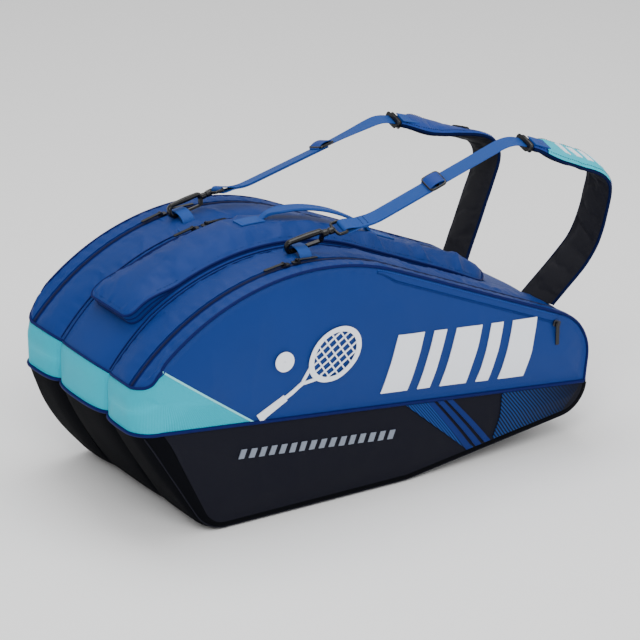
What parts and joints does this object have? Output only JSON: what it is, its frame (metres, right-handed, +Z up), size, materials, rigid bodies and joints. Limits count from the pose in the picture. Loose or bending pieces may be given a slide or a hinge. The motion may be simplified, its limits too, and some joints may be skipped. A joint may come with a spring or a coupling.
{
  "type": "racket tournament bag",
  "caption": "Long padded sports bag with an arched top, side-by-side racket compartments, zipped covers and clip-on shoulder straps.",
  "frame": {"origin": "on the floor, on the flat of the base, midway between the front and back faces and between the stern and nose ends", "axes": "+X towards the low nose end, -Y towards the front face, +Z up"},
  "size_m": [0.8252, 0.391, 0.4978],
  "materials": {
    "fabric_blue": "coated polyester, satin sheen",
    "fabric_turquoise": "fine ribbed polyester",
    "fabric_black": "coated polyester, matte",
    "webbing_blue": "woven webbing",
    "piping_navy": "piped seam",
    "zip_navy": "zip tape with coil",
    "lining_grey": "padded lining",
    "board_black": "stiffener sheet",
    "plastic_black": "moulded acetal",
    "slider_metal": "dark plated"
  },
  "bodies": {
    "root": {"base_panel": "fabric_black", "base_board": "board_black", "stern_band_front": "fabric_turquoise", "stern_band_middle": "fabric_turquoise", "stern_band_back": "fabric_turquoise", "stern_lower": "fabric_black", "nose_panels": "fabric_blue", "divider_front": "lining_grey", "lower_side_front": "fabric_black", "crown_front_inner": "fabric_blue", "zip_front_inner": "zip_navy", "divider_back": "lining_grey", "lower_side_back": "fabric_black", "crown_back_inner": "fabric_blue", "zip_back_inner": "zip_navy", "crown_middle": "fabric_blue", "zip_lid_inner": "zip_navy", "seam_piping": "piping_navy", "hook_loops": "webbing_blue", "pad_feet": "fabric_black"},
    "front_cover": {"front_wedge": "fabric_turquoise", "front_panel": "fabric_blue", "crown_front_outer": "fabric_blue", "zip_front_outer": "zip_navy", "piping_front": "piping_navy", "pocket_flap": "fabric_blue"},
    "back_cover": {"back_wedge": "fabric_turquoise", "back_panel": "fabric_blue", "crown_back_outer": "fabric_blue", "zip_back_outer": "zip_navy", "piping_back": "piping_navy"},
    "middle_lid": {"lid_panel": "fabric_blue", "lid_wall": "fabric_blue", "zip_lid_outer": "zip_navy", "handle_tabs": "webbing_blue"},
    "carry_handle": {"grab_handle": "webbing_blue"},
    "front_strap": {"webbing_front": "webbing_blue", "pad_front": "fabric_black", "hook_front": "plastic_black"},
    "front_hook_gate": {"gate_front": "plastic_black"},
    "front_strap_adjuster": {"adjuster_front": "plastic_black"},
    "back_strap": {"webbing_back": "webbing_blue", "pad_back": "fabric_black", "hook_back": "plastic_black"},
    "back_hook_gate": {"gate_back": "plastic_black"},
    "back_strap_adjuster": {"adjuster_back": "plastic_black"},
    "zip_slider_front_stern": {"slider_front_stern": "slider_metal"},
    "zip_pull_front_stern": {"pull_front_stern": "slider_metal"},
    "zip_slider_front_nose": {"slider_front_nose": "slider_metal"},
    "zip_pull_front_nose": {"pull_front_nose": "slider_metal"},
    "zip_slider_back_stern": {"slider_back_stern": "slider_metal"},
    "zip_pull_back_stern": {"pull_back_stern": "slider_metal"},
    "zip_slider_back_nose": {"slider_back_nose": "slider_metal"},
    "zip_pull_back_nose": {"pull_back_nose": "slider_metal"},
    "zip_slider_lid_stern": {"slider_lid_stern": "slider_metal"},
    "zip_pull_lid_stern": {"pull_lid_stern": "slider_metal"},
    "zip_slider_lid_nose": {"slider_lid_nose": "slider_metal"},
    "zip_pull_lid_nose": {"pull_lid_nose": "slider_metal"},
    "zip_slider_pocket": {"slider_pocket": "slider_metal"},
    "zip_pull_pocket": {"pull_pocket": "slider_metal"}
  },
  "joints": [
    {"name": "front_cover_opening", "type": "hinge", "parent": "root", "child": "front_cover", "pos_m": [-0.39, -0.18, 0.17], "axis": [0.9949, 0, -0.1008], "range_deg": [0, 18]},
    {"name": "back_cover_opening", "type": "hinge", "parent": "root", "child": "back_cover", "pos_m": [-0.39, 0.18, 0.17], "axis": [-0.9949, 0, 0.1008], "range_deg": [0, 18]},
    {"name": "lid_opening", "type": "hinge", "parent": "root", "child": "middle_lid", "pos_m": [0.28623, 0, 0.23261], "axis": [0, 1, 0], "range_deg": [0, 40]},
    {"name": "handle_swing", "type": "hinge", "parent": "middle_lid", "child": "carry_handle", "pos_m": [-0.07836, -0.002, 0.39016], "axis": [0.9597, 0, -0.281], "range_deg": [-35, 35]},
    {"name": "front_strap_swing", "type": "hinge", "parent": "root", "child": "front_strap", "pos_m": [-0.08969, -0.114, 0.37373], "axis": [0.9352, 0.0174, -0.3536], "range_deg": [-12, 25]},
    {"name": "front_hook_gate_opening", "type": "hinge", "parent": "front_strap", "child": "front_hook_gate", "pos_m": [-0.05593, -0.11826, 0.38051], "axis": [0.0735, 0.9675, 0.2421], "range_deg": [0, 22], "stiffness_Nm_per_rad": 0.05, "springref_deg": -8.59},
    {"name": "front_strap_adjusting", "type": "slide", "parent": "front_strap", "child": "front_strap_adjuster", "axis": [0.8999, -0.169, 0.402], "range_m": [-0.035, 0.035]},
    {"name": "back_strap_swing", "type": "hinge", "parent": "root", "child": "back_strap", "pos_m": [-0.15101, 0.114, 0.37103], "axis": [-0.9508, 0.0155, 0.3094], "range_deg": [-12, 25]},
    {"name": "back_hook_gate_opening", "type": "hinge", "parent": "back_strap", "child": "back_hook_gate", "pos_m": [-0.11694, 0.11766, 0.37652], "axis": [-0.0644, 0.9671, -0.2461], "range_deg": [0, 22], "stiffness_Nm_per_rad": 0.05, "springref_deg": -8.59},
    {"name": "back_strap_adjusting", "type": "slide", "parent": "back_strap", "child": "back_strap_adjuster", "axis": [0.9748, 0.1137, 0.192], "range_m": [-0.035, 0.035]},
    {"name": "front_zip_stern_slider_travel", "type": "hinge", "parent": "root", "child": "zip_slider_front_stern", "pos_m": [-0.104, -0.146, 0], "axis": [0, 1, 0], "range_deg": [-33, 0]},
    {"name": "front_zip_stern_pull_lift", "type": "hinge", "parent": "zip_slider_front_stern", "child": "zip_pull_front_stern", "pos_m": [-0.13286, -0.146, 0.37008], "axis": [0, 1, 0], "range_deg": [0, 120]},
    {"name": "front_zip_nose_slider_travel", "type": "hinge", "parent": "root", "child": "zip_slider_front_nose", "pos_m": [-0.104, -0.146, 0], "axis": [0, 1, 0], "range_deg": [0, 22]},
    {"name": "front_zip_nose_pull_lift", "type": "hinge", "parent": "zip_slider_front_nose", "child": "zip_pull_front_nose", "pos_m": [-0.10961, -0.146, 0.37117], "axis": [0, -1, 0], "range_deg": [0, 120]},
    {"name": "back_zip_stern_slider_travel", "type": "hinge", "parent": "root", "child": "zip_slider_back_stern", "pos_m": [-0.104, 0.146, 0], "axis": [0, 1, 0], "range_deg": [-27, 0]},
    {"name": "back_zip_stern_pull_lift", "type": "hinge", "parent": "zip_slider_back_stern", "child": "zip_pull_back_stern", "pos_m": [-0.16732, 0.146, 0.36577], "axis": [0, 1, 0], "range_deg": [0, 120]},
    {"name": "back_zip_nose_slider_travel", "type": "hinge", "parent": "root", "child": "zip_slider_back_nose", "pos_m": [-0.104, 0.146, 0], "axis": [0, 1, 0], "range_deg": [0, 28]},
    {"name": "back_zip_nose_pull_lift", "type": "hinge", "parent": "zip_slider_back_nose", "child": "zip_pull_back_nose", "pos_m": [-0.14411, 0.146, 0.36904], "axis": [0, -1, 0], "range_deg": [0, 120]},
    {"name": "lid_zip_stern_slider_travel", "type": "hinge", "parent": "root", "child": "zip_slider_lid_stern", "pos_m": [-0.104, 0.062, 0], "axis": [0, 1, 0], "range_deg": [-27, 0]},
    {"name": "lid_zip_stern_pull_lift", "type": "hinge", "parent": "zip_slider_lid_stern", "child": "zip_pull_lid_stern", "pos_m": [-0.16023, 0.062, 0.36693], "axis": [0, 1, 0], "range_deg": [0, 120]},
    {"name": "lid_zip_nose_slider_travel", "type": "hinge", "parent": "root", "child": "zip_slider_lid_nose", "pos_m": [-0.104, 0.062, 0], "axis": [0, 1, 0], "range_deg": [0, 27]},
    {"name": "lid_zip_nose_pull_lift", "type": "hinge", "parent": "zip_slider_lid_nose", "child": "zip_pull_lid_nose", "pos_m": [-0.13701, 0.062, 0.36974], "axis": [0, -1, 0], "range_deg": [0, 120]},
    {"name": "pocket_zip_slider_travel", "type": "slide", "parent": "front_cover", "child": "zip_slider_pocket", "axis": [0.9205, 0, -0.3907], "range_m": [-0.27, 0]},
    {"name": "pocket_zip_pull_swing", "type": "hinge", "parent": "zip_slider_pocket", "child": "zip_pull_pocket", "pos_m": [0.322, -0.185, 0.19831], "axis": [0, 1, 0], "range_deg": [-60, 60]}
  ]
}
